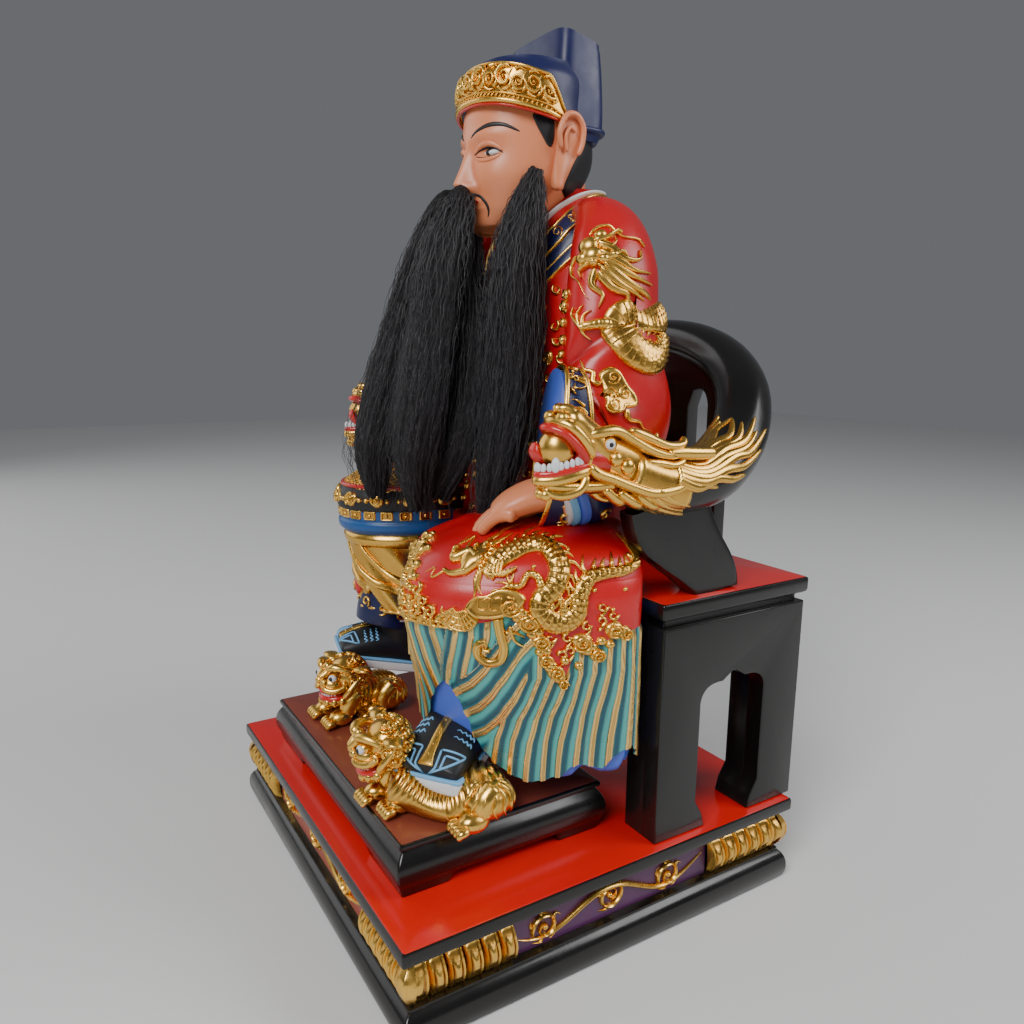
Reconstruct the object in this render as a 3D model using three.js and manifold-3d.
// A seated, long-bearded deity in court dress on a horseshoe chair.
// The boots rest on two small lions, the lions on a footstool, and all of it on a carved plinth.
// Millimetres, +Z up. The figure faces -Y, so its own left is +X.
// Heights are counted from the top of the plinth; the whole group is raised by the plinth at the end.
import * as THREE from 'three';
import { ParametricGeometry } from 'three/addons/geometries/ParametricGeometry.js';
import { mergeVertices } from 'three/addons/utils/BufferGeometryUtils.js';
import Module from 'manifold-3d';

const wasm = await Module();
wasm.setup();
const { Manifold, Mesh: SolidMesh } = wasm;

// Driving sizes
const GAP = 0.3;
const PLINTH = { wide: 250, deep: 237, tall: 49 };
const FOOTSTOOL = { wide: 189.6, front: -106.8, back: 10.7, tall: 26.5 };
const SEAT = { wide: 241.8, front: 20, back: 123, top: 126.6, thick: 13.2 };
const CHAIR_SIDE = { face: 119.4, thick: 24, front: 22.3, back: 122, leg: 27, arch: 82, spring: 70 };
const RAIL = { sides: 8, steps: 16 };
const FLUTES = { count: 14, depth: 1.8 };

const vec = (x, y, z) => new THREE.Vector3(x, y, z);
const TAU = Math.PI * 2;

// Solids: a closed geometry becomes a body that can be joined and cut
function solid(geometry) {
  geometry.deleteAttribute('normal');
  geometry.deleteAttribute('uv');
  const merged = mergeVertices(geometry, 1e-4);
  const index = merged.index.array;
  let corners = [];
  for (let i = 0; i < index.length; i += 3) {
    const [a, b, c] = [index[i], index[i + 1], index[i + 2]];
    if (a !== b && b !== c && c !== a) corners.push(a, b, c);
  }
  const points = new Float32Array(merged.attributes.position.array);
  const build = () => new Manifold(new SolidMesh({
    numProp: 3, vertProperties: points, triVerts: new Uint32Array(corners),
  }));
  let body = build();
  if (body.volume() < 0) {
    corners = corners.reverse();
    body = build();
  }
  return body;
}

function join(bodies) {
  return bodies.reduce((whole, body) => whole.add(body));
}

function mirrored(body) {
  return body.mirror([1, 0, 0]);
}

function named(name, body, material) {
  const { vertProperties, triVerts } = body.getMesh();
  const geometry = new THREE.BufferGeometry();
  geometry.setAttribute('position', new THREE.BufferAttribute(new Float32Array(vertProperties), 3));
  geometry.setIndex(new THREE.BufferAttribute(new Uint32Array(triVerts), 1));
  geometry.computeVertexNormals();
  const mesh = new THREE.Mesh(geometry, material);
  mesh.name = name;
  return mesh;
}

// Smooth blends through rows of numbers, one row for each station
function blend(before, from, to, after, f) {
  const slopeIn = (to - before) / 2;
  const slopeOut = (after - from) / 2;
  const turn = 2 * (from - to) + slopeIn + slopeOut;
  const bend = 3 * (to - from) - 2 * slopeIn - slopeOut;
  return from + f * (slopeIn + f * (bend + f * turn));
}

function blendRows(rows, i, f) {
  const last = rows.length - 1;
  const before = rows[Math.max(i - 1, 0)];
  const after = rows[Math.min(i + 2, last)];
  return rows[i].map((value, k) => blend(before[k], value, rows[i + 1][k], after[k], f));
}

function rowAt(rows, t) {
  const place = THREE.MathUtils.clamp(t, 0, 1) * (rows.length - 1);
  const i = Math.min(Math.floor(place), rows.length - 2);
  return blendRows(rows, i, place - i);
}

// The first column of the rows is the height, rising from row to row
function rowAtHeight(rows, z) {
  const last = rows.length - 1;
  const height = THREE.MathUtils.clamp(z, rows[0][0], rows[last][0]);
  let i = 0;
  while (i < last - 1 && height > rows[i + 1][0]) i += 1;
  return blendRows(rows, i, (height - rows[i][0]) / (rows[i + 1][0] - rows[i][0]));
}

// Round of a section: power 2 is an ellipse, more than 2 is squarer
function roundAt(angle, power) {
  const c = Math.cos(angle);
  const s = Math.sin(angle);
  const reach = 2 / power;
  return [Math.sign(c) * Math.abs(c) ** reach, Math.sign(s) * Math.abs(s) ** reach];
}

// A closed body from a surface(around, along), both 0 to 1; sunk draws the two end caps inwards
function skin(surface, slices, stacks, sunk = [0, 0]) {
  const ends = [0, 1].map((along) => {
    const middle = vec(0, 0, 0);
    for (let i = 0; i < slices; i += 1) middle.add(surface(i / slices, along));
    return middle.divideScalar(slices).add(vec(0, 0, sunk[along]));
  });
  const rows = stacks + 2;
  return solid(new ParametricGeometry((u, v, target) => {
    const row = Math.round(v * rows) - 1;
    if (row < 0) target.copy(ends[0]);
    else if (row > stacks) target.copy(ends[1]);
    else target.copy(surface(u === 1 ? 0 : u, row / stacks));
  }, slices, rows));
}

// Level sections stacked up: rows of [height, centre x, centre y, half width, half depth, power]
function stackPoint(rows, angle, z) {
  const [, cx, cy, a, b, power = 2] = rowAtHeight(rows, z);
  const [c, s] = roundAt(angle, power);
  return vec(cx + a * c, cy + b * s, z);
}

function stacked(rows, slices, stacks) {
  const low = rows[0][0];
  const high = rows[rows.length - 1][0];
  return skin((around, along) => stackPoint(rows, around * TAU, low + (high - low) * along), slices, stacks);
}

// Level sections with a ring at each row alone, so that steps stay sharp
function ringed(rows, slices) {
  return skin((around, along) => {
    const [z, cx, cy, a, b, power = 2] = rows[Math.round(along * (rows.length - 1))];
    const [c, s] = roundAt(around * TAU, power);
    return vec(cx + a * c, cy + b * s, z);
  }, slices, rows.length - 1);
}

// A limb along a path: rows of [x, y, z, half across, half over, power]
function limbFrame(rows, t, side) {
  const step = 1e-3;
  const row = rowAt(rows, t);
  const ahead = rowAt(rows, Math.min(t + step, 1));
  const behind = rowAt(rows, Math.max(t - step, 0));
  const along = vec(ahead[0] - behind[0], ahead[1] - behind[1], ahead[2] - behind[2]).normalize();
  const across = side.clone().addScaledVector(along, -side.dot(along)).normalize();
  const over = along.clone().cross(across);
  return { row, across, over };
}

function limbPoint(rows, around, t, side) {
  const { row, across, over } = limbFrame(rows, t, side);
  const [x, y, z, wide, high, power = 2] = row;
  const [c, s] = roundAt(around * TAU, power);
  return vec(x, y, z).addScaledVector(across, wide * c).addScaledVector(over, high * s);
}

const X = vec(1, 0, 0);
const Z = vec(0, 0, 1);

function limb(rows, slices, stacks, side = X) {
  return skin((around, along) => limbPoint(rows, around, along, side), slices, stacks);
}

function ball(x, y, z, rx, ry, rz, slices = 8, stacks = 6) {
  const geometry = new THREE.SphereGeometry(1, slices, stacks);
  geometry.rotateX(Math.PI / 2);
  geometry.scale(rx, ry, rz);
  geometry.translate(x, y, z);
  return solid(geometry);
}

function block(x0, x1, y0, y1, z0, z1) {
  const geometry = new THREE.BoxGeometry(x1 - x0, y1 - y0, z1 - z0);
  geometry.translate((x0 + x1) / 2, (y0 + y1) / 2, (z0 + z1) / 2);
  return solid(geometry);
}

// An upright outline in x and z, given its depth from y0 to y1
function extruded(outline, y0, y1) {
  const settings = { depth: y1 - y0, bevelEnabled: false, curveSegments: 4 };
  const geometry = new THREE.ExtrudeGeometry(outline, settings);
  geometry.rotateX(Math.PI / 2);
  geometry.translate(0, y1, 0);
  return solid(geometry);
}

// A raised line on a surface: track(t) gives the surface's two parameters there
function raised(surface, track, wide, high, steps) {
  const nudge = 1e-3;
  const frame = (t) => {
    const [a, b] = track(t);
    const here = surface(a, b);
    const [a1, b1] = track(t + nudge);
    const [a0, b0] = track(t - nudge);
    const along = surface(a1, b1).sub(surface(a0, b0)).normalize();
    const span = Math.abs(b) > 2 ? 0.2 : nudge;
    const du = surface(a + nudge, b).sub(surface(a - nudge, b));
    const dv = surface(a, b + span).sub(surface(a, b - span));
    const out = du.cross(dv).normalize();
    return { here, out, across: along.clone().cross(out).normalize() };
  };
  return skin((around, t) => {
    const { here, out, across } = frame(t);
    const corner = Math.round(around * 3) % 3;
    const side = [1, 0, -1][corner];
    const lift = [-0.4, 1, -0.4][corner];
    return here.addScaledVector(across, side * wide(t)).addScaledVector(out, lift * high(t));
  }, 3, steps);
}

const taper = (size) => (t) => size * (0.25 + 0.75 * Math.sin(Math.PI * Math.min(Math.max(t, 0.02), 0.98)));
const dwindle = (size) => (t) => size * (1 - 0.85 * Math.max(t, 0));

// Materials
const finish = (color, roughness, metalness = 0) => (
  new THREE.MeshStandardMaterial({ color, roughness, metalness })
);
const redLacquer = finish(0xc8140c, 0.3);
const blackLacquer = finish(0x0b0a0a, 0.35);
const paintedWood = finish(0xb01818, 0.45);
const goldLeaf = finish(0xd9a93a, 0.28, 0.9);
const blackHair = finish(0x100f10, 0.8);

// A four-cornered moulding: rows of [inset, height] from the bottom up
function moulding(x, y, halfWide, halfDeep, rows) {
  const corners = [[1, -1], [1, 1], [-1, 1], [-1, -1]];
  return skin((around, along) => {
    const [sx, sy] = corners[Math.round(around * 4) % 4];
    const [inset, z] = rows[Math.round(along * (rows.length - 1))];
    return vec(x + sx * (halfWide - inset), y + sy * (halfDeep - inset), z);
  }, 4, rows.length - 1);
}

// Plinth: red top board, gold tiled corners, sunk panels with a vine, black foot moulding
const FRIEZE = { low: -30, high: -9, sunk: 8, cornerWide: 14, sideRun: 58, frontRun: 53, tiles: 5 };

// A run of upright tiles with a groove between each two, bulging at mid height
function tileRun(from, to, face) {
  const columns = 2 * FRIEZE.tiles;
  const levels = [[3, FRIEZE.low], [7.4, -20], [3, FRIEZE.high]];
  const front = [];
  for (let i = 0; i <= columns; i += 1) {
    front.push([from + ((to - from) * i) / columns, i % 2 === 0 ? 1.6 : 0]);
  }
  const plan = [...front, [to, 0], [from, 0]];
  return skin((around, along) => {
    const i = Math.round(around * plan.length) % plan.length;
    const [out, z] = levels[Math.round(along * 2)];
    const [s, groove] = plan[i];
    return vec(s, i > columns ? -face + 2 : -face - out + groove, z);
  }, plan.length, 2);
}

function friezeFace(turn) {
  const alongX = turn % 2 === 0;
  const half = (alongX ? PLINTH.wide : PLINTH.deep) / 2;
  const reach = (alongX ? PLINTH.deep : PLINTH.wide) / 2;
  const run = alongX ? FRIEZE.frontRun : FRIEZE.sideRun;
  const face = reach - FRIEZE.sunk;
  const parts = [
    tileRun(half - run, half - FRIEZE.cornerWide + 4, face),
    tileRun(-half + FRIEZE.cornerWide - 4, -half + run, face),
  ];
  const panelHalf = half - run;
  const panel = (s, z) => vec(s, -face, z);
  const middle = (FRIEZE.low + FRIEZE.high) / 2;
  const waves = 1.5;
  const rise = 5.5;
  const reachOfVine = panelHalf - 4;
  const stem = (t) => [reachOfVine * (2 * t - 1), middle + rise * Math.sin(TAU * waves * t)];
  parts.push(raised(panel, stem, taper(1.9), () => 2.2, 7));
  for (const [i, up] of [[0, -1], [2, -1]]) {
    const centre = reachOfVine * ((2 * (i + 0.55)) / 3 - 1);
    const curl = (t) => {
      const angle = up * (0.6 + 4.4 * t);
      const radius = 8 - 5.5 * t;
      return [centre - radius * 1.3 * Math.cos(angle), middle - up * 1.5 + radius * 0.8 * Math.sin(angle)];
    };
    parts.push(raised(panel, curl, dwindle(2.2), () => 2, 3));
  }
  return parts.map((part) => part.rotate([0, 0, 90 * turn]));
}

function plinth() {
  const [halfWide, halfDeep] = [PLINTH.wide / 2, PLINTH.deep / 2];
  const body = moulding(0, 0, halfWide, halfDeep, [
    [4, -PLINTH.tall], [0.6, -46], [0, -40], [1.6, -34], [5.5, -31], [FRIEZE.sunk, FRIEZE.low],
    [FRIEZE.sunk, FRIEZE.high], [5, -7.4], [0.5, -7], [0, -6], [0, -0.8], [0.8, 0],
  ]);
  const corners = [];
  for (const sx of [-1, 1]) {
    for (const sy of [-1, 1]) {
      const half = FRIEZE.cornerWide / 2;
      corners.push(moulding(sx * (halfWide - half), sy * (halfDeep - half), half, half, [
        [5, FRIEZE.low], [0.8, -20], [5, FRIEZE.high],
      ]));
    }
  }
  const faces = [0, 1, 2, 3].flatMap((turn) => friezeFace(turn));
  return join([body, ...corners, ...faces]);
}

// Footstool: a board on four bracket feet, with a rounded black edge
function footstool() {
  const halfWide = FOOTSTOOL.wide / 2;
  const halfDeep = (FOOTSTOOL.back - FOOTSTOOL.front) / 2;
  const y = (FOOTSTOOL.back + FOOTSTOOL.front) / 2;
  const board = moulding(0, y, halfWide, halfDeep, [
    [3.5, GAP], [2.5, 5], [0.6, 8], [0, 12], [1, 18],
    [4, 22.5], [4, 23.6], [2.2, 24.2], [2.2, 25.6], [3, 26.5],
  ]);
  const recess = { half: 48, deep: 8, tall: 4.5 };
  const frontEnd = FOOTSTOOL.front + recess.deep;
  const frontNotch = block(-recess.half, recess.half, FOOTSTOOL.front - 2, frontEnd, -1, recess.tall);
  const sideNotch = block(halfWide - recess.deep, halfWide + 2, y - 27, y + 27, -1, recess.tall);
  return board.subtract(frontNotch).subtract(sideNotch).subtract(mirrored(sideNotch));
}

// Chair: seat board, two arched sides, front and back aprons, back board, arm posts and rail
function seat() {
  const half = (SEAT.back - SEAT.front) / 2;
  const low = SEAT.top - SEAT.thick;
  return moulding(0, SEAT.front + half, SEAT.wide / 2, half, [
    [4.5, low], [4.5, low + 3.6], [1, low + 5], [0, low + 6.6], [0, SEAT.top - 1], [0.8, SEAT.top],
  ]);
}

function chairSide() {
  const { front, back, leg, arch, spring, face, thick } = CHAIR_SIDE;
  const top = SEAT.top - SEAT.thick - GAP;
  const outline = new THREE.Shape();
  const middle = (front + back) / 2;
  outline.moveTo(front, GAP);
  outline.lineTo(front + leg + 7, GAP);
  outline.lineTo(front + leg + 5, 8);
  outline.lineTo(front + leg, 16);
  outline.lineTo(front + leg, spring);
  outline.quadraticCurveTo(front + leg + 1, arch - 2, middle - 8, arch - 3);
  outline.lineTo(middle, arch + 2);
  outline.lineTo(middle + 8, arch - 3);
  outline.quadraticCurveTo(back - leg - 1, arch - 2, back - leg, spring);
  outline.lineTo(back - leg, 16);
  outline.lineTo(back - leg - 5, 8);
  outline.lineTo(back - leg - 7, GAP);
  outline.lineTo(back - 1, GAP);
  outline.lineTo(back, 8);
  outline.lineTo(back, top - 2);
  outline.lineTo(back - 2, top);
  outline.lineTo(front + 2, top);
  outline.lineTo(front, top - 2);
  const settings = { depth: thick, bevelEnabled: false, curveSegments: 3 };
  const geometry = new THREE.ExtrudeGeometry(outline, settings);
  geometry.rotateX(Math.PI / 2);
  geometry.rotateZ(Math.PI / 2);
  geometry.translate(face - thick, 0, 0);
  const rebate = block(face - thick - 1, face - 11, front + leg, back - leg, spring - 30, top + 1);
  return solid(geometry).subtract(rebate);
}

function apron(y0, y1) {
  const half = CHAIR_SIDE.face - CHAIR_SIDE.thick - GAP;
  const top = SEAT.top - SEAT.thick - GAP;
  const outline = new THREE.Shape();
  outline.moveTo(-half, CHAIR_SIDE.spring);
  outline.quadraticCurveTo(-half + 2, CHAIR_SIDE.arch, -half + 26, CHAIR_SIDE.arch);
  outline.lineTo(half - 26, CHAIR_SIDE.arch);
  outline.quadraticCurveTo(half - 2, CHAIR_SIDE.arch, half, CHAIR_SIDE.spring);
  outline.lineTo(half, top);
  outline.lineTo(-half, top);
  return extruded(outline, y0, y1);
}

// Half of the rail from the middle of the back to the dragon's neck: [x, y, z, half across, half over]
const RAIL_HALF = [
  [0, 120, 252, 11.5, 11.5],
  [32, 118.5, 248.5, 12, 12],
  [62, 113, 238, 13, 13],
  [86, 101, 222, 14, 14],
  [101, 84, 203, 14.5, 14.5],
  [109, 62, 188, 14.5, 14.5],
  [112, 40, 182, 13.5, 13.5],
  [112.5, 18, 184, 12.5, 12.5],
  [112, 0, 190, 12, 12],
];

function railRows() {
  const right = RAIL_HALF.slice(1).map(([x, ...rest]) => [-x, ...rest]).reverse();
  return [...right, ...RAIL_HALF];
}

// A dragon's head on the rail's end: open jaws on a pearl, brow, horn and a streaming mane
function dragonHead() {
  const features = [
    limb([
      [112, 10, 190, 13, 13], [113, -4, 194, 14.5, 15], [113, -17, 198, 14, 14.5], [112, -27, 202, 9, 10],
    ], 7, 3),
    limb([[112, -14, 203, 12, 8], [111.5, -29, 211, 11, 8], [110.5, -47, 212, 9, 3.4]], 6, 2),
    limb([[112, -8, 186, 12, 8], [111.5, -26, 183, 10, 5.4], [110.5, -45, 187, 8, 2.6]], 6, 2),
    ball(110.8, -36, 198.5, 9.5, 9.5, 10.4, 7, 4),
  ];
  for (const side of [-1, 1]) {
    features.push(limb([
      [112.5 + side * 9, -18, 206, 3.2, 3.4], [113 + side * 10, 8, 205, 4, 5],
      [112.5 + side * 10.5, 36, 198, 3.8, 8], [108 + side * 10, 78, 214, 1, 1.5],
    ], 4, 3));
  }
  return join(features);
}

function armRail() {
  const rail = limb(railRows(), RAIL.sides, RAIL.steps, Z);
  const head = dragonHead();
  return join([rail, head, mirrored(head)]);
}

function armPost(rail) {
  const stations = [[60, 15.5, SEAT.top + GAP], [58, 15.5, 134], [44, 18, 150], [31, 25, 166], [29, 26, 178]];
  const corners = [[1, -1], [1, 1], [-1, 1], [-1, -1]];
  const post = skin((around, along) => {
    const [sx, sy] = corners[Math.round(around * 4) % 4];
    const [y, half, z] = stations[Math.round(along * 4)];
    return vec(109.5 + sx * 6, y + sy * half, z);
  }, 4, 4);
  return post.subtract(rail);
}

function backBoard(rail) {
  const half = 62;
  const outline = new THREE.Shape();
  outline.moveTo(-half, SEAT.top + GAP);
  outline.lineTo(half, SEAT.top + GAP);
  outline.lineTo(half, 238);
  outline.quadraticCurveTo(30, 252, 0, 252);
  outline.quadraticCurveTo(-30, 252, -half, 238);
  const slot = new THREE.Shape();
  slot.moveTo(36, 158);
  slot.lineTo(52, 158);
  slot.lineTo(52, 214);
  slot.quadraticCurveTo(50, 226, 40, 222);
  slot.lineTo(36, 212);
  const cut = extruded(slot, 100, 125);
  return extruded(outline, 109.5, 118.5).subtract(join([cut, mirrored(cut), rail]));
}

// Robe over the left leg: outlines in plan, from the front middle round the knee to the back
const ROBE_PLAN = [
  { z: 30, plan: [[8, -48], [28, -66], [58, -62], [95, -45], [109, -20], [113, 13], [70, 17], [12, 12]] },
  { z: 72, plan: [[6, -50], [28, -66], [60, -68], [96, -50], [110, -22], [113.5, 13], [70, 17], [10, 12]] },
  { z: 108, plan: [[4, -52], [28, -66], [60, -80], [95, -60], [111, -27], [114.5, 11], [70, 16], [8, 13]] },
  { z: 134, plan: [[4, -50], [28, -65], [60, -84], [92, -64], [111, -28], [115, 11], [72, 16], [8, 15]] },
  { z: 150, plan: [[12, -46], [32, -60], [62, -72], [90, -54], [107, -24], [108, 14], [74, 28], [14, 24]] },
  { z: 161, plan: [[30, -32], [44, -42], [64, -48], [82, -38], [94, -16], [94, 10], [76, 24], [36, 18]] },
  { z: 165, plan: [[46, -14], [54, -20], [66, -24], [76, -18], [82, -6], [82, 6], [72, 14], [50, 10]] },
];
const ROBE_TOP = 165;
const FRONT_SPANS = 5;
const BACK_COLUMNS = 5;
const FRONT_COLUMNS = 2 * FLUTES.count;
const FRONT_SHARE = FRONT_COLUMNS / (FRONT_COLUMNS + BACK_COLUMNS);

function planPoint(u, z) {
  const count = ROBE_PLAN[0].plan.length;
  const i = Math.floor(u) % count;
  const f = u - Math.floor(u);
  const flat = ROBE_PLAN.map(({ z: height, plan }) => {
    const pick = (k) => plan[(k + count) % count];
    const at = [0, 1].map((axis) => (
      blend(pick(i - 1)[axis], pick(i)[axis], pick(i + 1)[axis], pick(i + 2)[axis], f)
    ));
    return [height, ...at];
  });
  const [, x, y] = rowAtHeight(flat, z);
  return vec(x, y, z);
}

// The hem is short between the legs, dips at the shin, lifts over the boot, and ripples round to the back
const HEM = [
  [0, 76], [0.12, 75], [0.2, 52], [0.25, 56], [0.32, 69], [0.4, 58], [0.5, 40], [0.57, 36], [0.64, 44],
  [0.68, 56], [0.72, 50], [0.75, 44], [0.785, 55], [0.82, 50], [0.86, 42], [0.9, 40], [1, 76],
];

function linearAt(rows, t) {
  let i = 0;
  while (i < rows.length - 2 && t > rows[i + 1][0]) i += 1;
  const [from, to] = [rows[i], rows[i + 1]];
  const f = THREE.MathUtils.clamp((t - from[0]) / (to[0] - from[0]), 0, 1);
  return from[1] + (to[1] - from[1]) * f;
}

function spanOf(around) {
  if (around < FRONT_SHARE) return (FRONT_SPANS * around) / FRONT_SHARE;
  return FRONT_SPANS + (3 * (around - FRONT_SHARE)) / (1 - FRONT_SHARE);
}

// Stripes lean outwards as they rise above the boot, and sway a little further round
function stripeLean(around, z) {
  const rise = THREE.MathUtils.clamp((z - 40) / 70, 0, 1.2);
  const fan = Math.exp(-(((around - 0.36) / 0.17) ** 2));
  const sway = around > 0.5 && around < FRONT_SHARE ? 0.1 * Math.sin(z / 9) : 0;
  return 0.75 * fan * rise + sway * Math.sin((Math.PI * around) / FRONT_SHARE);
}

// The upper edge of the fluted band, where the row of cloud scrolls lies
const BAND = [
  [0, 122], [0.12, 122], [0.17, 100], [0.3, 98], [0.42, 112], [0.5, 104], [0.58, 84], [0.64, 78], [0.7, 96],
  [0.76, 108], [0.86, 108], [1, 122],
];

function robePoint(around, z) {
  const flat = planPoint(spanOf(around) + stripeLean(around, z), z);
  const inward = planPoint(spanOf(around), z).sub(vec(60, -18, z)).normalize();
  const inBand = THREE.MathUtils.clamp((linearAt(BAND, around) - z) / 6, 0, 1);
  const ridge = around < FRONT_SHARE ? Math.cos((TAU * FLUTES.count * around) / FRONT_SHARE) : 0;
  return flat.addScaledVector(inward, 0.5 * FLUTES.depth * inBand * ridge);
}

function robe() {
  const surface = (around, along) => {
    const hem = linearAt(HEM, around);
    const z = hem + (ROBE_TOP - hem) * along ** 1.1;
    return robePoint(around, z);
  };
  return skin(surface, FRONT_COLUMNS + BACK_COLUMNS, 6, [14, 0]);
}

// Gold work on the robe: the row of cloud scrolls and the dragon over the knee
function robeOrnament() {
  const onRobe = (around, z) => robePoint(around, z);
  const bandTrack = (t) => [0.12 + 0.72 * t, linearAt(BAND, 0.12 + 0.72 * t)];
  const parts = [raised(onRobe, bandTrack, () => 4.2, () => 3, 9)];
  for (let i = 0; i < 5; i += 1) {
    const middle = 0.22 + i * 0.14;
    const curl = (t) => {
      const angle = 5.2 * t;
      const radius = 7.5 - 5 * t;
      return [middle + 0.0042 * radius * Math.cos(angle), linearAt(BAND, middle) + radius * Math.sin(angle)];
    };
    parts.push(raised(onRobe, curl, dwindle(3.4), () => 4.4, 3));
  }
  const bodyTrack = [
    [0.2, 122], [0.27, 137], [0.35, 133], [0.4, 146], [0.47, 150], [0.52, 138],
    [0.53, 120], [0.59, 106], [0.65, 112], [0.67, 128], [0.73, 133], [0.79, 131],
  ];
  parts.push(raised(onRobe, (t) => rowAt(bodyTrack, t), taper(7), () => 4, 9));
  for (let i = 0; i < 2; i += 1) {
    const [around, z] = rowAt(bodyTrack, 0.88 + 0.08 * i);
    const flame = (t) => [around + 0.012 * Math.sin(3 * t), z + 4 + (17 - 2 * i) * t];
    parts.push(raised(onRobe, flame, dwindle(2.6), () => 2.6, 2));
  }
  for (let i = 0; i < 2; i += 1) {
    const [around, z] = rowAt(bodyTrack, 0.3 + 0.25 * i);
    const claw = (t) => [around - 0.05 * t, z - 10 + 7 * Math.sin(3 * t + i)];
    parts.push(raised(onRobe, claw, dwindle(2.6), () => 2.6, 2));
  }
  return parts;
}

// Sleeve from the shoulder to the wide hanging cuff
const SLEEVE = [
  [36, 37, 310, 9, 15], [54, 33, 303, 15, 20], [66, 27, 286, 17.5, 24], [71, 23, 262, 18, 25.5],
  [75, 22, 238, 18.5, 28], [79, 20, 214, 18.5, 32], [80, 8, 200, 17.5, 35], [79, -7, 198, 16, 36.5],
];
const CUFF = [
  [79.5, -3, 198, 17, 37.5, 2.3], [78, -11, 198, 17.5, 38, 2.3], [76, -17, 199, 19, 38.5, 2.3],
];
const FOREARM = [
  [80, 4, 186, 12, 14], [80, -10, 178, 12, 13], [80, -17, 174, 11, 11],
];

// Hand laid on the thigh, fingers pointing inwards and down
function hand() {
  const side = vec(0.8, -0.6, 0);
  const palm = limb([
    [81, -12, 175, 10, 8], [78, -24, 177, 13, 8], [73, -35, 173, 14, 7], [68, -41, 168, 13, 5],
  ], 6, 2, side);
  const parts = [palm];
  for (let i = 0; i < 4; i += 1) {
    const spread = (i - 1.5) * 6.2;
    const reach = [0.8, 1, 0.95, 0.75][i];
    const start = vec(73 + 0.8 * spread, -38 - 0.6 * spread, 170);
    const stations = [0, 0.5, 1].map((t) => [
      start.x - 14 * t * reach, start.y - 10 * t * reach, start.z - 2 * t - 11 * t * t * reach,
      3.3 - 0.6 * t, 3.3 - 0.7 * t,
    ]);
    parts.push(limb(stations, 3, 1, side));
  }
  parts.push(limb([[76, -18, 172, 4, 4], [67, -26, 167, 3.6, 3.6], [60, -31, 161, 2.6, 2.6]], 4, 1, side));
  return join(parts);
}

function arm() {
  const sleeve = limb(SLEEVE, 10, 7);
  const cuff = limb(CUFF, 10, 1);
  const mouth = limb([[78.4, -8, 198, 13.6, 34.5, 2.3], [75.5, -19, 199.4, 17, 36.6, 2.3]], 10, 1);
  return join([sleeve, cuff]).subtract(mouth).add(limb(FOREARM, 6, 1)).add(hand());
}

// Gold dragon and cloud on the sleeve
function sleeveOrnament() {
  const onSleeve = (around, t) => limbPoint(SLEEVE, around, t, X);
  const parts = [];
  const trunk = [[0.98, 0.3], [0.07, 0.33], [0.12, 0.38], [0.1, 0.44], [0.02, 0.48], [-0.04, 0.5]];
  const unwound = trunk.map(([a, t]) => [a > 0.5 ? a - 1 : a, t]);
  parts.push(raised(onSleeve, (t) => rowAt(unwound, t), () => 9, () => 4, 5));
  parts.push(raised(onSleeve, (t) => [0.17 - 0.1 * t, 0.14 + 0.1 * t], taper(8), () => 5, 4));
  for (let i = 0; i < 2; i += 1) {
    const mane = (t) => [0.15 - 0.04 * i - 0.08 * t, 0.2 + 0.03 * i + 0.13 * t + 0.01 * Math.sin(5 * t)];
    parts.push(raised(onSleeve, mane, dwindle(3), () => 3.4, 2));
  }
  parts.push(raised(onSleeve, (t) => [0.12 + 0.13 * t, 0.4 - 0.02 * t], dwindle(4), () => 3, 2));
  const cloud = [[0.17, 0.52], [0.13, 0.56], [0.12, 0.62], [0.07, 0.66], [0.03, 0.7]];
  parts.push(raised(onSleeve, (t) => rowAt(cloud, t), taper(7), () => 3, 4));
  return parts;
}

// Body, neck, head, hat
const TORSO = [
  [SEAT.top + GAP, -4, 28, 86, 33, 2.4], [150, -2, 27, 77, 33, 2.3], [191, 0, 25, 55, 31, 2.2],
  [192, 0, 25, 58, 34, 2.2], [204, 0, 25.5, 58, 34, 2.2], [205, 0, 26, 54, 30, 2.2],
  [270, 0, 32, 58, 29, 2.2], [303, 0, 36, 48, 25, 2.1], [304, 0, 37, 43, 24.5, 2],
  [329, 0, 42, 23.5, 19.5, 2],
];
const NECK = [[314, 0, 38, 19, 19], [326, 0, 36, 17, 18], [345, 0, 32, 17, 20]];
const HEAD = [
  [304, 0, -4, 7, 8], [308, 0, -1, 14, 15], [316, 0, 7, 22, 24], [328, 0, 13, 27, 31],
  [342, 0, 17, 29.5, 35.5], [356, 0, 17, 30, 35], [368, 0, 16, 28, 32], [380, 0, 16, 20, 24],
];
const HAT_CROWN = [
  [348, 0, 17, 30.5, 34, 2.2], [366, 0, 13, 31.5, 33, 2.2],
  [380, 0, 13, 31.5, 32, 2.2], [388, 0, 14, 29, 28, 2.2],
];
const HAT_BLOCK = [
  [352, 0, 35, 27.5, 16, 3], [357, 0, 35, 28.5, 17, 4],
  [380, 0, 35, 27.5, 15.6, 5], [405, 0, 34.5, 27, 13.4, 5],
];
const HAT_BAND = { out: 3, high: 20.5 };

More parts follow.
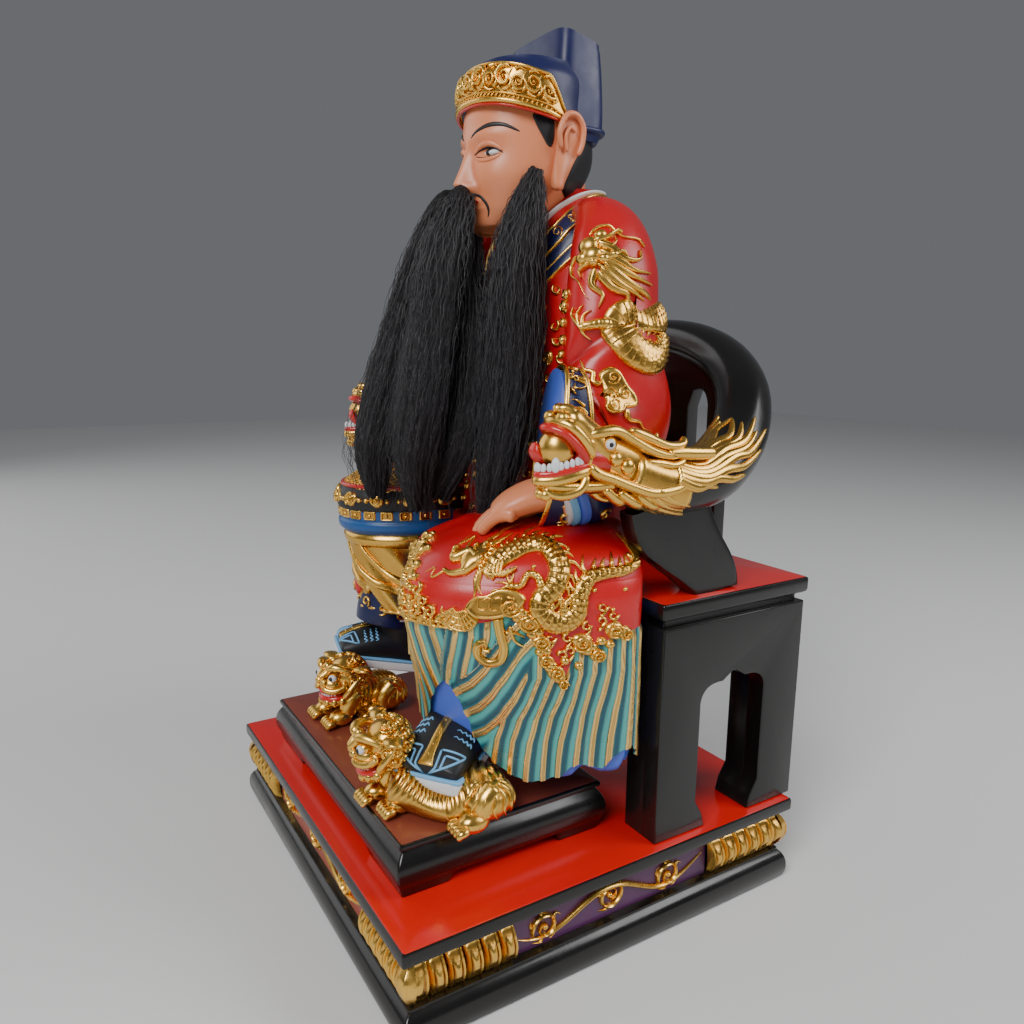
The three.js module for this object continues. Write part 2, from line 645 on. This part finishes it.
// A soft crown with a band standing proud in front, and a tall stiff block behind
function hat() {
  const crown = skin((around, along) => {
    const frontness = Math.max(0, -Math.sin(TAU * around)) ** 0.7;
    const brim = 358 - 8 * Math.sin(TAU * around);
    const bandTop = brim + HAT_BAND.high * frontness;
    const [z, out] = [
      [brim - 0.6, 0], [brim, HAT_BAND.out], [bandTop, HAT_BAND.out], [bandTop + 0.6, 0], [387.4, 0],
    ][Math.round(along * 4)];
    const point = stackPoint(HAT_CROWN, around * TAU, z);
    return point.addScaledVector(vec(point.x, point.y - 13, 0).normalize(), out * frontness);
  }, 14, 4);
  const tall = skin((around, along) => {
    const point = stackPoint(HAT_BLOCK, around * TAU, HAT_BLOCK[Math.round(along * 3)][0]);
    if (along === 1) point.z -= 0.24 * (point.y - 21);
    return point;
  }, 8, 3);
  return join([crown, tall]);
}

function head() {
  const skull = stacked(HEAD, 11, 6);
  const nose = limb([
    [0, -16, 344, 2.6, 3], [0, -20, 336, 3.4, 3.6], [0, -23, 328, 5.2, 4.2],
  ], 5, 2);
  const ears = [];
  for (const side of [-1, 1]) {
    ears.push(limb([
      [side * 30.5, 25, 361, 2.4, 5.2], [side * 32.6, 23, 352, 3.4, 7.6], [side * 31.4, 20, 341, 3, 6],
      [side * 29.6, 17, 326, 2.8, 3.6],
    ], 4, 3));
  }
  return join([skull, nose, ...ears]);
}

// Right leg: bulging thigh armour with a girdle, a pleated skirt below it, then trousers and boot
const THIGH = [
  [84, -62, -19.5, 29, 35], [126.4, -65, -21.5, 32, 40.5], [127.2, -65, -18, 32, 44],
  [137, -67, -17, 32.5, 45], [138, -67, -18, 36, 48.5], [146, -68, -18, 37, 50], [147, -68, -18, 34, 47.5],
  [158, -68, -18, 35.5, 49.5], [170, -67, -16, 30, 40], [176, -65, -12, 20, 26],
];

function thigh() {
  return skin((around, along) => {
    const [height, cx, cy, a, b] = THIGH[Math.round(along * (THIGH.length - 1))];
    const lowest = 92 + 10 * Math.cos(TAU * around - Math.PI * 1.15);
    const z = height < 138 ? lowest + ((height - 84) * (138 - lowest)) / 54 : height;
    const pleat = height < 137 ? 1.6 * Math.cos(TAU * 10 * around) : 0;
    const [c, s] = roundAt(around * TAU, 2);
    return vec(cx + (a + pleat) * c, cy + (b + pleat) * s, z);
  }, 20, THIGH.length - 1, [8, 0]);
}

// A boot along its own axis: heel, instep and square toe on a pale sole; spare makes it larger all round
function boot({ toe, heel, shaftTop }, spare = 0) {
  const along = vec(toe[0] - heel[0], toe[1] - heel[1], 0).normalize();
  const side = vec(-along.y, along.x, 0);
  const at = (t, rise) => [
    THREE.MathUtils.lerp(heel[0], toe[0], t), THREE.MathUtils.lerp(heel[1], toe[1], t),
    THREE.MathUtils.lerp(heel[2], toe[2], t) + rise,
  ];
  const grown = (rows) => rows.map(([x, y, z, wide, high, power]) => (
    [x, y, z, wide + spare, high + spare, power]
  ));
  const upper = limb(grown([
    [...at(0.02, 13), 15, 12, 2.6], [...at(0.3, 17), 16.5, 15, 2.4], [...at(0.6, 14), 17.5, 13, 2.4],
    [...at(0.86, 10), 17.5, 8.5, 2.6], [...at(1, 8), 15.5, 5, 2.6],
  ]), 8, 4, side);
  const sole = limb(grown([
    [...at(-0.02, 3), 15, 3.4, 6], [...at(0.5, 3), 17, 3.4, 6], [...at(0.9, 3.2), 18.6, 3.4, 6],
    [...at(1.02, 3.6), 17, 3.2, 6],
  ]), 6, 2, side);
  if (!shaftTop) return join([upper, sole]);
  const leg = [[...at(0.2, 12), 15, 16], [...at(0.14, shaftTop), 18, 19]];
  const shaft = limb(leg, 7, 1, side);
  return join([upper, sole, shaft]);
}

const LEFT_BOOT = { toe: [75, -83, 39.5], heel: [44, -38, 45] };
const RIGHT_BOOT = { toe: [-74, -71, 55], heel: [-63, -24, 43], shaftTop: 40 };

// The red under-robe hangs behind the legs, in front of the chair
function underRobe() {
  const rows = [
    [40, -22, 1, 84, 15, 5], [70, -22, 1, 83, 15, 5], [110, -22, 1, 82, 15, 5], [150, -20, 4, 78, 16, 4],
  ];
  const surface = (around, along) => {
    const z = 40 + 110 * along + (1 - along) * 4 * Math.cos(TAU * 7 * around);
    const point = stackPoint(rows, around * TAU, z);
    const fold = 1.8 * Math.cos(TAU * 8 * around) * (1 - along);
    return point.add(vec(0, Math.sin(TAU * around) < 0 ? -fold : 0, 0));
  };
  return skin(surface, 16, 2);
}

function figure() {
  const leftArm = join([arm(), ...sleeveOrnament()]);
  const rightArm = arm();
  const parts = [
    ringed(TORSO, 12), ringed(NECK, 8), head(), hat(),
    leftArm, mirrored(rightArm), robe(), ...robeOrnament(), thigh(),
    limb([[-66, -20, 110, 24, 26], [-65, -36, 96, 19, 21], [-65, -42, 84, 17.5, 18]], 8, 1),
    boot(LEFT_BOOT), boot(RIGHT_BOOT), underRobe(),
  ];
  return join(parts);
}

// Guardian lions lying under the boots: low in the back, so that the soles bear on them
function lion(spine, headAt, paws) {
  const [hx, hy, hz] = headAt;
  const parts = [
    limb(spine, 6, 4),
    ball(hx, hy, hz, 15.5, 14, 16, 7, 5),
    ball(hx - 1, hy - 11, hz - 6, 11, 7, 8.5, 6, 3),
  ];
  for (const [x, y, size] of paws) {
    parts.push(ball(x, y, FOOTSTOOL.tall + 6, 6.5 * size, 9.5 * size, 6.5 * size, 5, 3));
  }
  return join(parts);
}

function rested(body, shoe) {
  const under = block(-130, 130, -130, 130, -10, FOOTSTOOL.tall + GAP);
  return body.subtract(under).subtract(boot(shoe, 2 * GAP));
}

const leftLion = lion(
  [
    [86, -50, 34, 9, 9], [85, -59, 37, 15, 14], [76, -68, 34, 18, 10],
    [66, -80, 34, 16, 10], [56, -95, 40, 13, 14],
  ],
  [54, -96, 58], [[46, -98, 1], [66, -100, 1], [95, -64, 1.2]],
);
const rightLion = lion(
  [
    [-58, -40, 34, 9, 8], [-57, -50, 36, 15, 10], [-55, -62, 36, 16, 12],
    [-50, -72, 40, 13, 14], [-46, -86, 40, 12, 12],
  ],
  [-45, -80, 52.5], [[-36, -88, 1], [-55, -92, 1], [-70, -54, 1.2]],
);

// Beard of real hair in five tufts: rows of [x, y, z, half across, half over]
const CHEEK_TUFT = [
  [29.5, 4, 334, 1.5, 2.5], [31, -2, 316, 7, 8], [33, -8, 290, 10, 11.5], [35.5, -12, 250, 12, 13],
  [37, -17, 210, 12.5, 13], [38, -25, 176, 11, 10], [38, -29, 152, 4, 4],
];
const MOUSTACHE_LEFT = [
  [5, -23, 322.5, 2, 3], [9, -29, 318, 6, 6], [9, -37, 292, 12, 11], [8, -43, 256, 14, 12],
  [7, -49, 220, 15, 12.5], [5, -53, 188, 14.5, 12], [4, -51, 160, 5, 5],
];
const MOUSTACHE_RIGHT = [
  [-5, -23, 322.5, 2, 3], [-9, -29, 318, 5.5, 5.5], [-14, -38, 292, 8.5, 8.5], [-20, -46, 256, 11, 10.5],
  [-25, -55, 220, 13.5, 12], [-28, -62, 188, 14.5, 12], [-28, -62, 163, 5, 5],
];
const CHIN_TUFT = [
  [0, -15, 303, 3, 2.4], [-2, -20, 288, 10, 6], [-4, -24, 256, 17, 8], [-5, -28, 222, 19, 9],
  [-5, -33, 192, 17, 9], [-6, -38, 164, 6, 5],
];

function tuft(rows, against) {
  return limb(rows, 7, 6).subtract(against);
}

// Assembly
const figureBody = figure();
const besideFigure = join([figureBody, figureBody.translate([0, -GAP, 0])]);
const rail = armRail();
const railWithRoom = join([rail, rail.translate([0, 0, -GAP])]);
const moustacheLeft = tuft(MOUSTACHE_LEFT, besideFigure);
const moustacheRight = tuft(MOUSTACHE_RIGHT, besideFigure);
const side = chairSide();
const post = armPost(railWithRoom);

const statue = new THREE.Group();
statue.position.z = PLINTH.tall;
statue.add(
  named('plinth', plinth(), redLacquer),
  named('footstool', footstool(), blackLacquer),
  named('chair_seat', seat(), blackLacquer),
  named('chair_side_left', side, blackLacquer),
  named('chair_side_right', mirrored(side), blackLacquer),
  named('chair_apron_front', apron(CHAIR_SIDE.front + 3, CHAIR_SIDE.front + 14), blackLacquer),
  named('chair_apron_back', apron(CHAIR_SIDE.back - 14, CHAIR_SIDE.back - 3), blackLacquer),
  named('back_board', backBoard(railWithRoom), blackLacquer),
  named('arm_post_left', post, blackLacquer),
  named('arm_post_right', mirrored(post), blackLacquer),
  named('arm_rail', rail, blackLacquer),
  named('figure', figureBody, paintedWood),
  named('lion_left', rested(leftLion, LEFT_BOOT), goldLeaf),
  named('lion_right', rested(rightLion, RIGHT_BOOT), goldLeaf),
  named('moustache_left', moustacheLeft, blackHair),
  named('moustache_right', moustacheRight, blackHair),
  named('beard_cheek_left', tuft(CHEEK_TUFT, besideFigure), blackHair),
  named('beard_cheek_right', tuft(CHEEK_TUFT.map(([x, ...rest]) => [-x, ...rest]), besideFigure), blackHair),
  named('beard_chin', tuft(CHIN_TUFT, besideFigure), blackHair),
);

export default statue;
